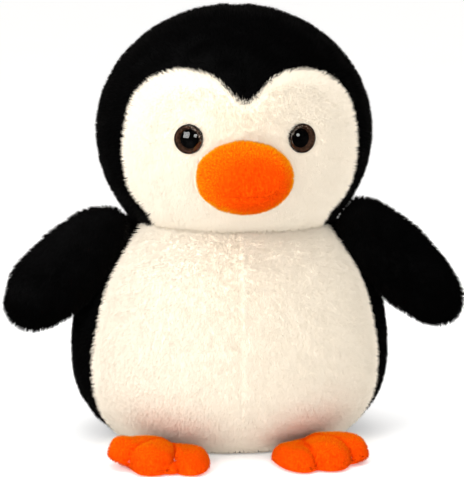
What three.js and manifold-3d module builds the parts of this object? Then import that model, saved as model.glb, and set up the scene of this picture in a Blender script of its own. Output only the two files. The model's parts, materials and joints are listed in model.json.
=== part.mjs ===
// A stuffed toy penguin, sewn from plush panels around loose filling.
//
// It sits on z = 0 and faces -Y. The head nods in the neck opening of the torso, each wing flaps
// about its shoulder and each foot flexes under the belly. Every skin panel is a separate shell,
// cut from an outer form and hollowed by a smaller one, with its filling as a solid inside.

import * as THREE from 'three';
import { mergeVertices } from 'three/addons/utils/BufferGeometryUtils.js';
import Module from 'manifold-3d';

const wasm = await Module();
wasm.setup();

// Driving dimensions, in millimetres and degrees.

const GAP = 0.3;                 // between pieces that touch
const SOCKET_GAP = 1;            // between pieces that move on each other
const NECK_GAP = 1.9;            // between the torso and the head, whose jaw swings as it nods
const PLUSH = 4;                 // fabric and pile on the head, torso and wings
const SHORT_PLUSH = 3;           // fabric and pile on the beak and feet
const FAR = 200;                 // reaches past the toy in any direction

// Columns and rows of facets on the outer forms, and on the smaller forms inside them.
const OUTER = { head: [30, 16], torso: [32, 8], beak: [20, 10], wing: [16, 4], foot: [16, 8] };
const INNER = { head: [20, 10], torso: [20, 6], beak: [14, 8], wing: [12, 3], foot: [12, 6] };
const OUTLINE_STEPS = 4;         // outline points for each point of a half outline
const TURNED = 16;               // facets round the eyes and the pellet bag

// The head sits a little to the toy's left of the torso, as its stuffing has settled.
const HEAD = { x: 1.8, y: -8, z: 170, halfWidth: 75, halfDepth: 66, crown: 68, jaw: 72 };

// The torso is an egg: a half width at each height, and a depth that is a fixed share of it.
const TORSO = {
  halfWidth: 87.8, depthRatio: 0.89, girthHeight: 47.5,
  below: 58, belowPower: 2.3, above: 92, abovePower: 2.2,
};

const BEAK = { x: 0.6, y: -76, z: 152, halfWidth: 24.8, halfHeight: 18.7, halfDepth: 22, seamDrop: 10, seamTilt: 18 };

const EYE = {
  x: 29, z: 170, radius: 8, pupilRadius: 6, backDepth: 2.5, discThickness: 0.8, domeHeight: 3.4,
  postRadius: 2.5, postDepth: 14, washerRadius: 8, washerDepth: 4.8, washerThickness: 1.2,
};

// A wing is an egg of its own, flattened front to back, hung from a pivot at its rounded root.
const WING = {
  pivotX: 69.5, pivotY: -30, pivotZ: 119.5, droop: 45, waist: 31,
  toTip: 41, toRoot: 45, halfWidth: 20.5, halfThickness: 11, power: 2.2,
};

// A foot is three puffy toes on a cross pad under the belly, sewn to a thin sole near the floor.
// Both feet are sewn on a little to the toy's right of the middle.
const FOOT = {
  shift: -3.2, seam: 3.6, bury: 0.8, fullness: 0.75,
  pivotY: -69, pivotZ: 14.5, droopLimit: 12,
  lobes: [
    { x: 41, y: -71, turn: 0, along: 22, across: 11, height: 12 },
    { x: 25.5, y: -80, turn: -86, along: 19.5, across: 10, height: 12.5 },
    { x: 44.8, y: -79, turn: -80, along: 19.5, across: 12.4, height: 15.5 },
    { x: 50.5, y: -70, turn: -24, along: 18.5, across: 12.5, height: 15 },
  ],
};

const PELLET_BAG = { radius: 36, height: 16, y: 4 };

// Sides are +X for the toy's left, -X for its right, named as its wearer would.
const SIDES = [{ name: 'left', sign: 1 }, { name: 'right', sign: -1 }];

// Half outlines of the white panels seen from the front, as x and height, from the middle outwards.
const FACE_OUTLINE = [
  [5.6, 192], [12, 199], [20, 203.6], [31, 205.6], [42, 203.4], [50.6, 198.6], [57.5, 190],
  [61.2, 178], [62.8, 160], [60.2, 144], [55.6, 135], [49, 127.5], [44, 112], [44, 90],
];
const FACE_PEAK = 188.7;
const BELLY_OUTLINE = [
  [46, 150], [48, 128], [57.8, 112], [65.5, 99], [71, 86], [75.2, 69], [78, 50], [76.8, 31],
  [72, 16], [64, 4], [60, -6],
];

// Finishes.

const BLACK_PLUSH = { color: 0x0a0809, roughness: 0.95, metalness: 0 };
const WHITE_PLUSH = { color: 0xfaf0e2, roughness: 0.95, metalness: 0 };
const ORANGE_PLUSH = { color: 0xf96a08, roughness: 0.9, metalness: 0 };
const FILLING = { color: 0xf2f0ea, roughness: 1, metalness: 0 };
const PELLETS = { color: 0xd9d6cc, roughness: 0.8, metalness: 0 };
const EYE_BLACK = { color: 0x050505, roughness: 0.15, metalness: 0 };
const EYE_BROWN = { color: 0x3a241a, roughness: 0.3, metalness: 0 };
const EYE_CLEAR = { color: 0xffffff, roughness: 0.05, metalness: 0, transparent: true, opacity: 0.35 };
const WASHER_PLASTIC = { color: 0xe8e8e4, roughness: 0.5, metalness: 0 };

const penguin = new THREE.Group();

// Solids and meshes.

function radians(degrees) {
  return THREE.MathUtils.degToRad(degrees);
}

/** A closed solid from a three.js geometry, with its doubled points and empty triangles removed. */
function solidOf(geometry) {
  const bare = geometry.clone();
  bare.deleteAttribute('normal');
  bare.deleteAttribute('uv');
  const merged = mergeVertices(bare, 1e-4);
  const corners = Array.from(merged.index.array);
  const kept = [];
  for (let i = 0; i < corners.length; i += 3) {
    const [a, b, c] = corners.slice(i, i + 3);
    if (a !== b && b !== c && c !== a) kept.push(a, b, c);
  }
  return new wasm.Manifold(new wasm.Mesh({
    numProp: 3,
    vertProperties: new Float32Array(merged.attributes.position.array),
    triVerts: new Uint32Array(kept),
  }));
}

function geometryOf(solid) {
  const mesh = solid.getMesh();
  const geometry = new THREE.BufferGeometry();
  geometry.setAttribute('position', new THREE.BufferAttribute(mesh.vertProperties, 3));
  geometry.setIndex(new THREE.BufferAttribute(mesh.triVerts, 1));
  geometry.computeVertexNormals();
  return geometry;
}

function addPiece(name, solid, finish) {
  const mesh = new THREE.Mesh(geometryOf(solid), new THREE.MeshStandardMaterial(finish));
  mesh.name = name;
  penguin.add(mesh);
}

/** Moves every point of a geometry by a rule that changes the point it is given. */
function reshape(geometry, rule) {
  const position = geometry.attributes.position;
  const point = new THREE.Vector3();
  for (let i = 0; i < position.count; i += 1) {
    point.fromBufferAttribute(position, i);
    rule(point);
    position.setXYZ(i, point.x, point.y, point.z);
  }
  return geometry;
}

/** A box given by its lowest and highest corners. */
function block(low, high) {
  const size = high.map((value, axis) => value - low[axis]);
  const geometry = new THREE.BoxGeometry(...size);
  geometry.translate(...low.map((value, axis) => value + size[axis] / 2));
  return solidOf(geometry);
}

/** Everything on one side of an upright plane at x, less half a gap. */
function halfSpace(sign, x) {
  const near = x + sign * GAP / 2;
  const far = sign * FAR;
  return block([Math.min(near, far), -FAR, -FAR], [Math.max(near, far), FAR, 2 * FAR]);
}

/** A front outline centred on x and carried along Y, from far in front of the toy back to y. */
function frontPrism(outline, x, y) {
  const shape = new THREE.Shape(outline);
  const geometry = new THREE.ExtrudeGeometry(shape, { depth: FAR, bevelEnabled: false, steps: 1 });
  geometry.rotateX(Math.PI / 2);
  geometry.translate(x, y, 0);
  return solidOf(geometry);
}

/** A closed outline moved outwards by a distance, each point along its own normal. */
function grow(outline, distance) {
  const turn = Math.sign(THREE.ShapeUtils.area(outline));
  return outline.map((point, i) => {
    const before = outline[(i + outline.length - 1) % outline.length];
    const after = outline[(i + 1) % outline.length];
    const along = after.clone().sub(before).normalize();
    return new THREE.Vector2(point.x + turn * along.y * distance, point.y - turn * along.x * distance);
  });
}

/** A smooth curve through points given for the +X half, mirrored to the other half. */
function mirroredOutline(half, middle) {
  const right = half.map(([x, z]) => new THREE.Vector2(x, z));
  const left = right.map((point) => new THREE.Vector2(-point.x, point.y)).reverse();
  const centre = middle === null ? [] : [new THREE.Vector2(0, middle)];
  const curve = new THREE.SplineCurve([...left, ...centre, ...right]);
  return curve.getPoints(OUTLINE_STEPS * half.length);
}

// Outer forms, each with an allowance that grows it or, when negative, shrinks it.

function headForm(allowance, facets) {
  const geometry = new THREE.SphereGeometry(1, ...facets.head);
  geometry.rotateX(Math.PI / 2);
  reshape(geometry, (point) => {
    const height = point.z > 0 ? HEAD.crown : HEAD.jaw;
    point.x = HEAD.x + point.x * (HEAD.halfWidth + allowance);
    point.y = HEAD.y + point.y * (HEAD.halfDepth + allowance);
    point.z = HEAD.z + point.z * (height + allowance);
  });
  return solidOf(geometry);
}

/** Points of a half egg, as radius and height, along one superellipse quarter from its waist. */
function eggQuarter(halfWidth, reach, power, fromTurn, toTurn, steps) {
  const points = [];
  for (let i = 0; i <= steps; i += 1) {
    const turn = fromTurn + (toTurn - fromTurn) * i / steps;
    points.push(new THREE.Vector2(
      halfWidth * Math.max(0, Math.cos(turn)) ** (2 / power),
      reach * Math.max(0, Math.sin(turn)) ** (2 / power),
    ));
  }
  return points;
}

function torsoForm(allowance, facets) {
  const [columns, rows] = facets.torso;
  const halfWidth = TORSO.halfWidth + allowance;
  const below = TORSO.below + allowance;
  const drop = TORSO.girthHeight + allowance;
  const baseTurn = Math.asin((drop / below) ** (TORSO.belowPower / 2));
  const lower = eggQuarter(halfWidth, below, TORSO.belowPower, baseTurn, 0, rows / 2)
    .map((point) => new THREE.Vector2(point.x, TORSO.girthHeight - point.y));
  const upper = eggQuarter(halfWidth, TORSO.above + allowance, TORSO.abovePower, 0, Math.PI / 2, rows)
    .map((point) => new THREE.Vector2(point.x, TORSO.girthHeight + point.y));
  const foot = new THREE.Vector2(0, TORSO.girthHeight - drop);
  const geometry = new THREE.LatheGeometry([foot, ...lower, ...upper.slice(1)], columns);
  geometry.rotateX(Math.PI / 2);
  reshape(geometry, (point) => {
    point.y *= TORSO.depthRatio;
  });
  return solidOf(geometry);
}

function beakForm(allowance, facets) {
  const geometry = new THREE.SphereGeometry(1, ...facets.beak);
  geometry.rotateX(Math.PI / 2);
  geometry.scale(BEAK.halfWidth + allowance, BEAK.halfDepth + allowance, BEAK.halfHeight + allowance);
  geometry.translate(BEAK.x, BEAK.y, BEAK.z);
  return solidOf(geometry);
}

function wingForm(side, allowance, facets) {
  const [columns, rows] = facets.wing;
  const halfWidth = WING.halfWidth + allowance;
  const root = eggQuarter(halfWidth, WING.toRoot + allowance, WING.power, Math.PI / 2, 0, rows)
    .map((point) => new THREE.Vector2(point.x, WING.waist - point.y));
  const tip = eggQuarter(halfWidth, WING.toTip + allowance, WING.power, 0, Math.PI / 2, rows)
    .map((point) => new THREE.Vector2(point.x, WING.waist + point.y));
  const geometry = new THREE.LatheGeometry([...root, ...tip.slice(1)], columns);
  geometry.scale(1, 1, (WING.halfThickness + allowance) / halfWidth);
  const droop = radians(WING.droop);
  const along = new THREE.Vector3(side.sign * Math.cos(droop), 0, -Math.sin(droop));
  const across = new THREE.Vector3(side.sign * Math.sin(droop), 0, Math.cos(droop));
  const through = new THREE.Vector3().crossVectors(across, along);
  geometry.applyMatrix4(new THREE.Matrix4().makeBasis(across, along, through));
  geometry.translate(side.sign * WING.pivotX, WING.pivotY, WING.pivotZ);
  return solidOf(geometry);
}

/** One lobe, as a ball stretched along its own direction and pressed square towards its edges. */
function lobeForm(side, lobe, allowance, facets) {
  const geometry = new THREE.SphereGeometry(1, ...facets.foot);
  geometry.rotateX(Math.PI / 2);
  const turn = radians(lobe.turn);
  const halfHeight = (lobe.height + FOOT.bury) / 2;
  reshape(geometry, (point) => {
    const spread = Math.max(Math.hypot(point.x, point.y), 1e-9) ** (FOOT.fullness - 1);
    const rise = Math.sign(point.z) * Math.abs(point.z) ** FOOT.fullness;
    const along = side.sign * point.x * spread * (lobe.along + allowance);
    const across = point.y * spread * (lobe.across + allowance);
    point.x = FOOT.shift
      + side.sign * (lobe.x + along * Math.cos(turn) - across * Math.sin(turn));
    point.y = lobe.y + along * Math.sin(turn) + across * Math.cos(turn);
    point.z = halfHeight - FOOT.bury + rise * (halfHeight + allowance);
  });
  return solidOf(geometry);
}

function footForm(side, allowance, facets) {
  const floor = block([-FAR, -FAR, -FAR], [FAR, FAR, Math.max(0, -allowance)]);
  return FOOT.lobes.map((lobe) => lobeForm(side, lobe, allowance, facets))
    .reduce((joined, lobe) => joined.add(lobe))
    .subtract(floor);
}

// Head: two black hood panels, a white face panel and the filling.

const faceOutline = mirroredOutline(FACE_OUTLINE, FACE_PEAK);
const facePrism = frontPrism(faceOutline, HEAD.x, HEAD.y);
const hoodCutter = frontPrism(grow(faceOutline, GAP), HEAD.x, HEAD.y + GAP);
const headSkin = headForm(0, OUTER).subtract(headForm(-PLUSH, INNER));

/** The outward normal of the head at an eye, and the point of the surface there. */
function eyePlace(side) {
  const across = side.sign * EYE.x;
  const slope = Math.sqrt(1 - (across / HEAD.halfWidth) ** 2);
  const point = new THREE.Vector3(HEAD.x + across, HEAD.y - HEAD.halfDepth * slope, EYE.z);
  const normal = new THREE.Vector3(across / HEAD.halfWidth ** 2, (point.y - HEAD.y) / HEAD.halfDepth ** 2, 0);
  return { point, normal: normal.normalize() };
}

/** A turned solid on an eye's axis, from its profile of radius and height above the pile tips. */
function eyeSolid(side, profile) {
  const { point, normal } = eyePlace(side);
  const geometry = new THREE.LatheGeometry(profile.map(([r, h]) => new THREE.Vector2(r, h)), TURNED);
  const turn = new THREE.Quaternion().setFromUnitVectors(new THREE.Vector3(0, 1, 0), normal);
  geometry.applyQuaternion(turn);
  geometry.translate(point.x, point.y, point.z);
  return solidOf(geometry);
}

/** A plain cylinder on an eye's axis. */
function eyeRod(side, radius, low, high) {
  return eyeSolid(side, [[0, low], [radius, low], [radius, high], [0, high]]);
}

/** A ring of square section on an eye's axis. */
function eyeRing(side, innerRadius, outerRadius, low, high) {
  return eyeRod(side, outerRadius, low, high)
    .subtract(eyeRod(side, innerRadius, low - 1, high + 1));
}

/** The rounded front of the clear lens, as an ellipse from its rim to its top. */
function lensProfile(low) {
  const steps = 4;
  const profile = [[0, low]];
  for (let i = 0; i <= steps; i += 1) {
    const turn = Math.PI / 2 * i / steps;
    profile.push([EYE.radius * Math.cos(turn), low + (EYE.domeHeight - low) * Math.sin(turn)]);
  }
  profile[profile.length - 1][0] = 0;
  return profile;
}

let facePanel = headSkin.intersect(facePrism);
let headFill = headForm(-PLUSH - GAP, INNER);
for (const side of SIDES) {
  const discTop = -EYE.backDepth + EYE.discThickness;
  facePanel = facePanel
    .subtract(eyeRod(side, EYE.radius + GAP, -EYE.backDepth - GAP, EYE.domeHeight + GAP))
    .subtract(eyeRod(side, EYE.postRadius + GAP, -EYE.postDepth, 0))
    .subtract(eyeRod(side, EYE.washerRadius + GAP, -EYE.postDepth, -EYE.washerDepth + GAP));
  headFill = headFill
    .subtract(eyeRod(side, EYE.washerRadius + GAP, -EYE.washerDepth - EYE.washerThickness - GAP, 0))
    .subtract(eyeRod(side, EYE.postRadius + GAP, -EYE.postDepth - GAP, 0));
  addPiece(`${side.name}_eye_core`, eyeSolid(side, [
    [0, -EYE.postDepth], [EYE.postRadius, -EYE.postDepth], [EYE.postRadius, -EYE.backDepth],
    [EYE.pupilRadius, -EYE.backDepth], [EYE.pupilRadius, discTop], [0, discTop],
  ]), EYE_BLACK);
  addPiece(`${side.name}_eye_iris`,
    eyeRing(side, EYE.pupilRadius + GAP, EYE.radius, -EYE.backDepth, discTop), EYE_BROWN);
  addPiece(`${side.name}_eye_lens`, eyeSolid(side, lensProfile(discTop + GAP)), EYE_CLEAR);
  addPiece(`${side.name}_eye_washer`,
    eyeRing(side, EYE.postRadius + GAP, EYE.washerRadius,
      -EYE.washerDepth - EYE.washerThickness, -EYE.washerDepth), WASHER_PLASTIC);
  addPiece(`${side.name}_hood_panel`,
    headSkin.subtract(hoodCutter).intersect(halfSpace(side.sign, HEAD.x)), BLACK_PLUSH);
}
addPiece('face_panel', facePanel, WHITE_PLUSH);
addPiece('head_fill', headFill, FILLING);

// Beak: an upper and a lower panel over one pad, sewn to the front of the face.

/** Everything above or below the tilted seam between the two beak panels, less half a gap. */
function beakHalf(sign) {
  const geometry = new THREE.BoxGeometry(FAR, FAR, FAR);
  geometry.translate(0, 0, sign * (FAR + GAP) / 2);
  geometry.rotateX(radians(BEAK.seamTilt));
  geometry.translate(BEAK.x, BEAK.y - BEAK.halfDepth, BEAK.z - BEAK.seamDrop);
  return solidOf(geometry);
}

const beakBack = headForm(GAP, OUTER);
const beakSkin = beakForm(0, OUTER).subtract(beakForm(-SHORT_PLUSH, INNER)).subtract(beakBack);
addPiece('beak_upper_panel', beakSkin.intersect(beakHalf(1)), ORANGE_PLUSH);
addPiece('beak_lower_panel', beakSkin.intersect(beakHalf(-1)), ORANGE_PLUSH);
addPiece('beak_fill', beakForm(-SHORT_PLUSH - GAP, INNER).subtract(beakBack), FILLING);

// Torso: a white belly panel, two black back panels, a flat base panel, the filling and its pellets.

const socket = headForm(NECK_GAP, OUTER);
const bellyOutline = mirroredOutline(BELLY_OUTLINE, null);
const bellyBack = -12;
const bellyPrism = frontPrism(bellyOutline, 0, bellyBack);
const backCutter = frontPrism(grow(bellyOutline, GAP), 0, bellyBack + GAP);
const torsoSkin = torsoForm(0, OUTER).subtract(torsoForm(-PLUSH, INNER)).subtract(socket);
const belowBase = block([-FAR, -FAR, -FAR], [FAR, FAR, PLUSH - GAP / 2]);
const aboveBase = block([-FAR, -FAR, PLUSH + GAP / 2], [FAR, FAR, FAR]);
const torsoWall = torsoSkin.intersect(aboveBase);

addPiece('belly_panel', torsoWall.intersect(bellyPrism), WHITE_PLUSH);
for (const side of SIDES) {
  addPiece(`${side.name}_back_panel`,
    torsoWall.subtract(backCutter).intersect(halfSpace(side.sign, 0)), BLACK_PLUSH);
}
addPiece('base_panel', torsoSkin.intersect(belowBase), BLACK_PLUSH);

function pelletBagForm(allowance) {
  const low = PLUSH + GAP - allowance;
  const high = PLUSH + GAP + PELLET_BAG.height + allowance;
  const radius = PELLET_BAG.radius + allowance;
  const bulge = PELLET_BAG.height / 4;
  const profile = [[0, low], [radius - bulge, low], [radius, low + bulge], [radius, high - bulge],
    [radius - bulge, high], [0, high]];
  const geometry = new THREE.LatheGeometry(profile.map(([r, h]) => new THREE.Vector2(r, h)), TURNED);
  geometry.rotateX(Math.PI / 2);
  geometry.translate(0, PELLET_BAG.y, 0);
  return solidOf(geometry);
}

addPiece('pellet_bag', pelletBagForm(0), PELLETS);
addPiece('torso_fill',
  torsoForm(-PLUSH - GAP, INNER).subtract(socket).subtract(pelletBagForm(GAP)), FILLING);

// Wings: a front and a back panel joined at the edge, over one pad.

/** The torso and the head with room to move, which a wing's inner edge is hollowed to clear. */
function bodyBesideWing(allowance) {
  return torsoForm(SOCKET_GAP + allowance, OUTER).add(headForm(SOCKET_GAP + allowance, OUTER));
}

for (const side of SIDES) {
  const outer = wingForm(side, 0, OUTER).subtract(bodyBesideWing(0));
  const inner = wingForm(side, -PLUSH, INNER).subtract(bodyBesideWing(PLUSH));
  const pad = wingForm(side, -PLUSH - GAP, INNER).subtract(bodyBesideWing(PLUSH + GAP));
  const skin = outer.subtract(inner);
  const seam = WING.pivotY;
  const front = block([-FAR, -FAR, -FAR], [FAR, seam - GAP / 2, FAR]);
  const back = block([-FAR, seam + GAP / 2, -FAR], [FAR, FAR, FAR]);
  addPiece(`${side.name}_wing_front_panel`, skin.intersect(front), BLACK_PLUSH);
  addPiece(`${side.name}_wing_back_panel`, skin.intersect(back), BLACK_PLUSH);
  addPiece(`${side.name}_wing_fill`, pad, FILLING);
}

// Feet: an upper and a sole joined at the edge, over one pad.

/** The space that the torso sweeps, as seen from a foot, while the foot droops to its limit. */
function torsoSeenByFoot(allowance) {
  const still = torsoForm(SOCKET_GAP + allowance, OUTER);
  const swung = torsoForm(SOCKET_GAP + allowance, OUTER)
    .translate([0, -FOOT.pivotY, -FOOT.pivotZ])
    .rotate([-FOOT.droopLimit, 0, 0])
    .translate([0, FOOT.pivotY, FOOT.pivotZ]);
  return still.add(swung);
}

for (const side of SIDES) {
  const outer = footForm(side, 0, OUTER).subtract(torsoSeenByFoot(0));
  const inner = footForm(side, -SHORT_PLUSH, INNER);
  const pad = footForm(side, -SHORT_PLUSH - GAP, INNER).subtract(torsoSeenByFoot(0));
  const skin = outer.subtract(inner);
  addPiece(`${side.name}_foot_upper`,
    skin.intersect(block([-FAR, -FAR, FOOT.seam + GAP / 2], [FAR, FAR, FAR])), ORANGE_PLUSH);
  addPiece(`${side.name}_foot_sole`,
    skin.intersect(block([-FAR, -FAR, -FAR], [FAR, FAR, FOOT.seam - GAP / 2])), ORANGE_PLUSH);
  addPiece(`${side.name}_foot_fill`, pad, FILLING);
}

export default penguin;
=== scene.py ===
"""A stuffed toy penguin: plush panels with a real pile, moulded eyes, and soft filling inside.

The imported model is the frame. Every soft part of it is replaced here by a sewn panel, a pad of
filling, or a coat of pile, each riding on the body that its part belongs to. All sizes are in metres.
"""

import json
import logging
from collections.abc import Callable
from dataclasses import dataclass, field
from enum import Enum

import bmesh
import bpy
import numpy as np
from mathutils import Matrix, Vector


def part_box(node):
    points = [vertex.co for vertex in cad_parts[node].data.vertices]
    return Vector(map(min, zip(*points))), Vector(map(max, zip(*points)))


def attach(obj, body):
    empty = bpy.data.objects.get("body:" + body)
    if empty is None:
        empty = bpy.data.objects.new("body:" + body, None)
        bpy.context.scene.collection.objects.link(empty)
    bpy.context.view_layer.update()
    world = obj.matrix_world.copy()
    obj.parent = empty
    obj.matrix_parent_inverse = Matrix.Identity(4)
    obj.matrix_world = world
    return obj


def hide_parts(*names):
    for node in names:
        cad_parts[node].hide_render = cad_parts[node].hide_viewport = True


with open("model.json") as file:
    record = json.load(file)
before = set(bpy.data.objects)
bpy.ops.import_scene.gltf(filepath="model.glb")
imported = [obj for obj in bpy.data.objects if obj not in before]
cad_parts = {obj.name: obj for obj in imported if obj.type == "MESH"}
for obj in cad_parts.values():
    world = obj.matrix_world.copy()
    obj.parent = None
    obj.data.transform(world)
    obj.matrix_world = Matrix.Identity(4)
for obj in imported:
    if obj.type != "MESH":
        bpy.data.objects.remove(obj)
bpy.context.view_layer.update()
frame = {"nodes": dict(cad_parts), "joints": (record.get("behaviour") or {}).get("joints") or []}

logging.basicConfig(level=logging.INFO, format="%(message)s")
log = logging.getLogger("penguin")

Array = np.ndarray

MM = 0.001
SEED = 7


class Side(Enum):
    """The toy's own left and right, with the sign of X on that side."""

    LEFT = 1
    RIGHT = -1

    @property
    def word(self) -> str:
        """The side's name as node and body names spell it."""
        return self.name.lower()


# Numbers and vectors


def unit(vectors: Array) -> Array:
    """Vectors along the last axis, each divided by its length."""
    return vectors / np.maximum(np.linalg.norm(vectors, axis=-1, keepdims=True), 1e-12)


def smoothstep(low: float, high: float, value: Array) -> Array:
    """A soft step: 0 up to low, 1 from high, and 3t^2 - 2t^3 between them."""
    t = np.clip((value - low) / (high - low), 0.0, 1.0)
    return t * t * (3.0 - 2.0 * t)


def power(value: Array, exponent: float) -> Array:
    """The signed power: the sign of each number times its size to the exponent."""
    return np.sign(value) * np.abs(value) ** exponent


def lumps(points: Array, pitch: float, seed: int, count: int = 10) -> Array:
    """A smooth random field over space, as a sum of sine waves of about one pitch.

    Args:
        points: Places in metres, with the three coordinates last.
        pitch: Wavelength of the waves in metres.
        seed: Number that picks the waves.
        count: How many waves are added.

    Returns:
        One number for each place, mostly between -1 and 1.
    """
    rng = np.random.default_rng(seed)
    waves = unit(rng.normal(size=(count, 3))) * (2 * np.pi / pitch) * rng.uniform(0.7, 1.4, (count, 1))
    phases = rng.uniform(0, 2 * np.pi, count)
    return np.sin(points @ waves.T + phases).sum(axis=-1) / np.sqrt(count)


def spline(points: Array, steps: int) -> Array:
    """A smooth curve through points, as Catmull-Rom pieces.

    Args:
        points: The points it goes through, one per row.
        steps: How many samples each stretch between two points gets.

    Returns:
        The samples from the first point to the last, one per row.
    """
    before = np.vstack([2 * points[0] - points[1], points[:-1]])[: len(points) - 1]
    start, end = points[:-1], points[1:]
    after = np.vstack([points[2:], 2 * points[-1] - points[-2]])
    t = np.linspace(0, 1, steps, endpoint=False)[None, :, None]
    p0, p1, p2, p3 = (p[:, None, :] for p in (before, start, end, after))
    curve = 0.5 * (
        2 * p1 + (p2 - p0) * t + (2 * p0 - 5 * p1 + 4 * p2 - p3) * t**2 + (3 * p1 - p0 - 3 * p2 + p3) * t**3
    )
    return np.vstack([curve.reshape(-1, points.shape[1]), points[-1:]])


def resample(curve: Array, count: int) -> Array:
    """The same curve as count points, evenly spaced along its length."""
    length = np.concatenate([[0], np.cumsum(np.linalg.norm(np.diff(curve, axis=0), axis=1))])
    at = np.linspace(0, length[-1], count)
    return np.stack([np.interp(at, length, curve[:, k]) for k in range(curve.shape[1])], axis=-1)


# Meshes


def mesh_object(name: str, points: Array, quads: Array) -> bpy.types.Object:
    """A new object from points and faces of equal size, smooth shaded, at the origin.

    Args:
        name: The object's name.
        points: One row for each vertex, in metres.
        quads: One row of vertex numbers for each face, all rows of the same length.

    Returns:
        The new object, linked to the scene.
    """
    mesh = bpy.data.meshes.new(name)
    sides = quads.shape[1]
    mesh.vertices.add(len(points))
    mesh.vertices.foreach_set("co", np.ascontiguousarray(points, dtype=np.float32).ravel())
    mesh.loops.add(quads.size)
    mesh.loops.foreach_set("vertex_index", np.ascontiguousarray(quads, dtype=np.int32).ravel())
    mesh.polygons.add(len(quads))
    mesh.polygons.foreach_set("loop_start", np.arange(0, quads.size, sides, dtype=np.int32))
    mesh.polygons.foreach_set("loop_total", np.full(len(quads), sides, dtype=np.int32))
    mesh.polygons.foreach_set("use_smooth", np.ones(len(quads), dtype=bool))
    mesh.update(calc_edges=True)
    mesh.validate()
    obj = bpy.data.objects.new(name, mesh)
    bpy.context.scene.collection.objects.link(obj)
    return obj


def grid_faces(rows: int, columns: int, wrap: bool = False) -> Array:
    """Faces of a grid of rows by columns points, numbered row by row.

    Args:
        rows: Number of rows of points.
        columns: Number of points in each row.
        wrap: True if the last column joins the first.

    Returns:
        Four vertex numbers for each face, turning from the row direction to the column direction.
    """
    i = np.arange(rows - 1)[:, None]
    j = np.arange(columns if wrap else columns - 1)[None, :]
    k = (j + 1) % columns
    corners = np.broadcast_arrays(
        i * columns + j, (i + 1) * columns + j, (i + 1) * columns + k, i * columns + k
    )
    return np.stack([c.ravel() for c in corners], axis=-1)


def grid_normals(grid: Array, outward: Array, wrap: bool = False) -> Array:
    """Unit normals of a grid of points, from the cross product of its two differences.

    Args:
        grid: The points.
        outward: A rough outward direction at each, which also serves where the grid has a pole.
        wrap: True if the last column joins the first.

    Returns:
        The normals, turned to agree with the outward directions.
    """
    down = np.gradient(grid, axis=0)
    along = np.roll(grid, -1, axis=1) - np.roll(grid, 1, axis=1) if wrap else np.gradient(grid, axis=1)
    cross = np.cross(down, along)
    weak = np.linalg.norm(cross, axis=-1, keepdims=True) < 1e-13
    normal = np.where(weak, unit(outward), unit(cross))
    return normal * np.where((normal * outward).sum(axis=-1, keepdims=True) < 0, -1.0, 1.0)


@dataclass
class Sheet:
    """A patch of plush: a grid of points with the outward normal at each.

    A wrapped patch has its first row at a pole, and its last column joins its first.
    """

    points: Array
    normals: Array
    wrap: bool = False

    def shell(self, name: str, thickness: float) -> bpy.types.Object:
        """The patch as a closed fabric panel of even thickness, its inner face behind its outer one.

        Args:
            name: The new object's name.
            thickness: Distance between the two faces, in metres.

        Returns:
            The new object.
        """
        rows, columns = self.points.shape[:2]
        inner = self.points - self.normals * thickness
        points = np.concatenate([self.points.reshape(-1, 3), inner.reshape(-1, 3)])
        faces = grid_faces(rows, columns, self.wrap)
        count = rows * columns
        index = np.arange(count).reshape(rows, columns)
        if self.wrap:
            rim = index[-1]
        else:
            rim = np.concatenate([index[:-1, 0], index[-1, :-1], index[:0:-1, -1], index[0, :0:-1]])
        after = np.roll(rim, -1)
        edge = np.stack([rim, rim + count, after + count, after], axis=-1)
        quads = np.concatenate([faces, faces[:, ::-1] + count, edge])
        return close_mesh(mesh_object(name, points, quads))

    def unrolled(self) -> tuple[Array, Array]:
        """Points and normals with the first column repeated at the end of a wrapped patch."""
        if not self.wrap:
            return self.points, self.normals
        return np.concatenate([self.points, self.points[:, :1]], axis=1), np.concatenate(
            [self.normals, self.normals[:, :1]], axis=1
        )


def close_mesh(obj: bpy.types.Object) -> bpy.types.Object:
    """Merges doubled points at poles and folds, drops empty faces and turns every face outwards."""
    work = bmesh.new()
    work.from_mesh(obj.data)
    bmesh.ops.remove_doubles(work, verts=work.verts, dist=1e-6)
    bmesh.ops.dissolve_degenerate(work, edges=work.edges, dist=1e-7)
    bmesh.ops.recalc_face_normals(work, faces=work.faces)
    for face in work.faces:
        face.smooth = True
    work.to_mesh(obj.data)
    work.free()
    return obj


def revolve(profile: Array, columns: int) -> Array:
    """A profile of radius and height turned about Z, as a closed-round grid of points."""
    turn = np.linspace(0, 2 * np.pi, columns, endpoint=False)
    x = profile[:, :1] * np.cos(turn)
    y = profile[:, :1] * np.sin(turn)
    z = np.repeat(profile[:, 1:], columns, axis=1)
    return np.stack([x, y, z], axis=-1)


def closed_surface(name: str, grid: Array) -> bpy.types.Object:
    """A closed form from a grid whose columns wrap round and whose first and last rows are poles."""
    rows, columns = grid.shape[:2]
    return close_mesh(mesh_object(name, grid.reshape(-1, 3), grid_faces(rows, columns, wrap=True)))


# Finishes


def node(tree: bpy.types.NodeTree, kind: str, **values: object) -> bpy.types.Node:
    """A new shader node, with its plain settings given by name."""
    made = tree.nodes.new(kind)
    for key, value in values.items():
        setattr(made, key, value)
    return made


def new_material(name: str) -> tuple[bpy.types.Material, bpy.types.NodeTree, bpy.types.Node]:
    """A material with one principled shader on its output.

    Args:
        name: The material's name.

    Returns:
        The material, its node tree and the shader node.
    """
    material = bpy.data.materials.new(name)
    material.use_nodes = True
    tree = material.node_tree
    tree.nodes.clear()
    shader = node(tree, "ShaderNodeBsdfPrincipled")
    output = node(tree, "ShaderNodeOutputMaterial")
    tree.links.new(shader.outputs["BSDF"], output.inputs["Surface"])
    return material, tree, shader


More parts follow.
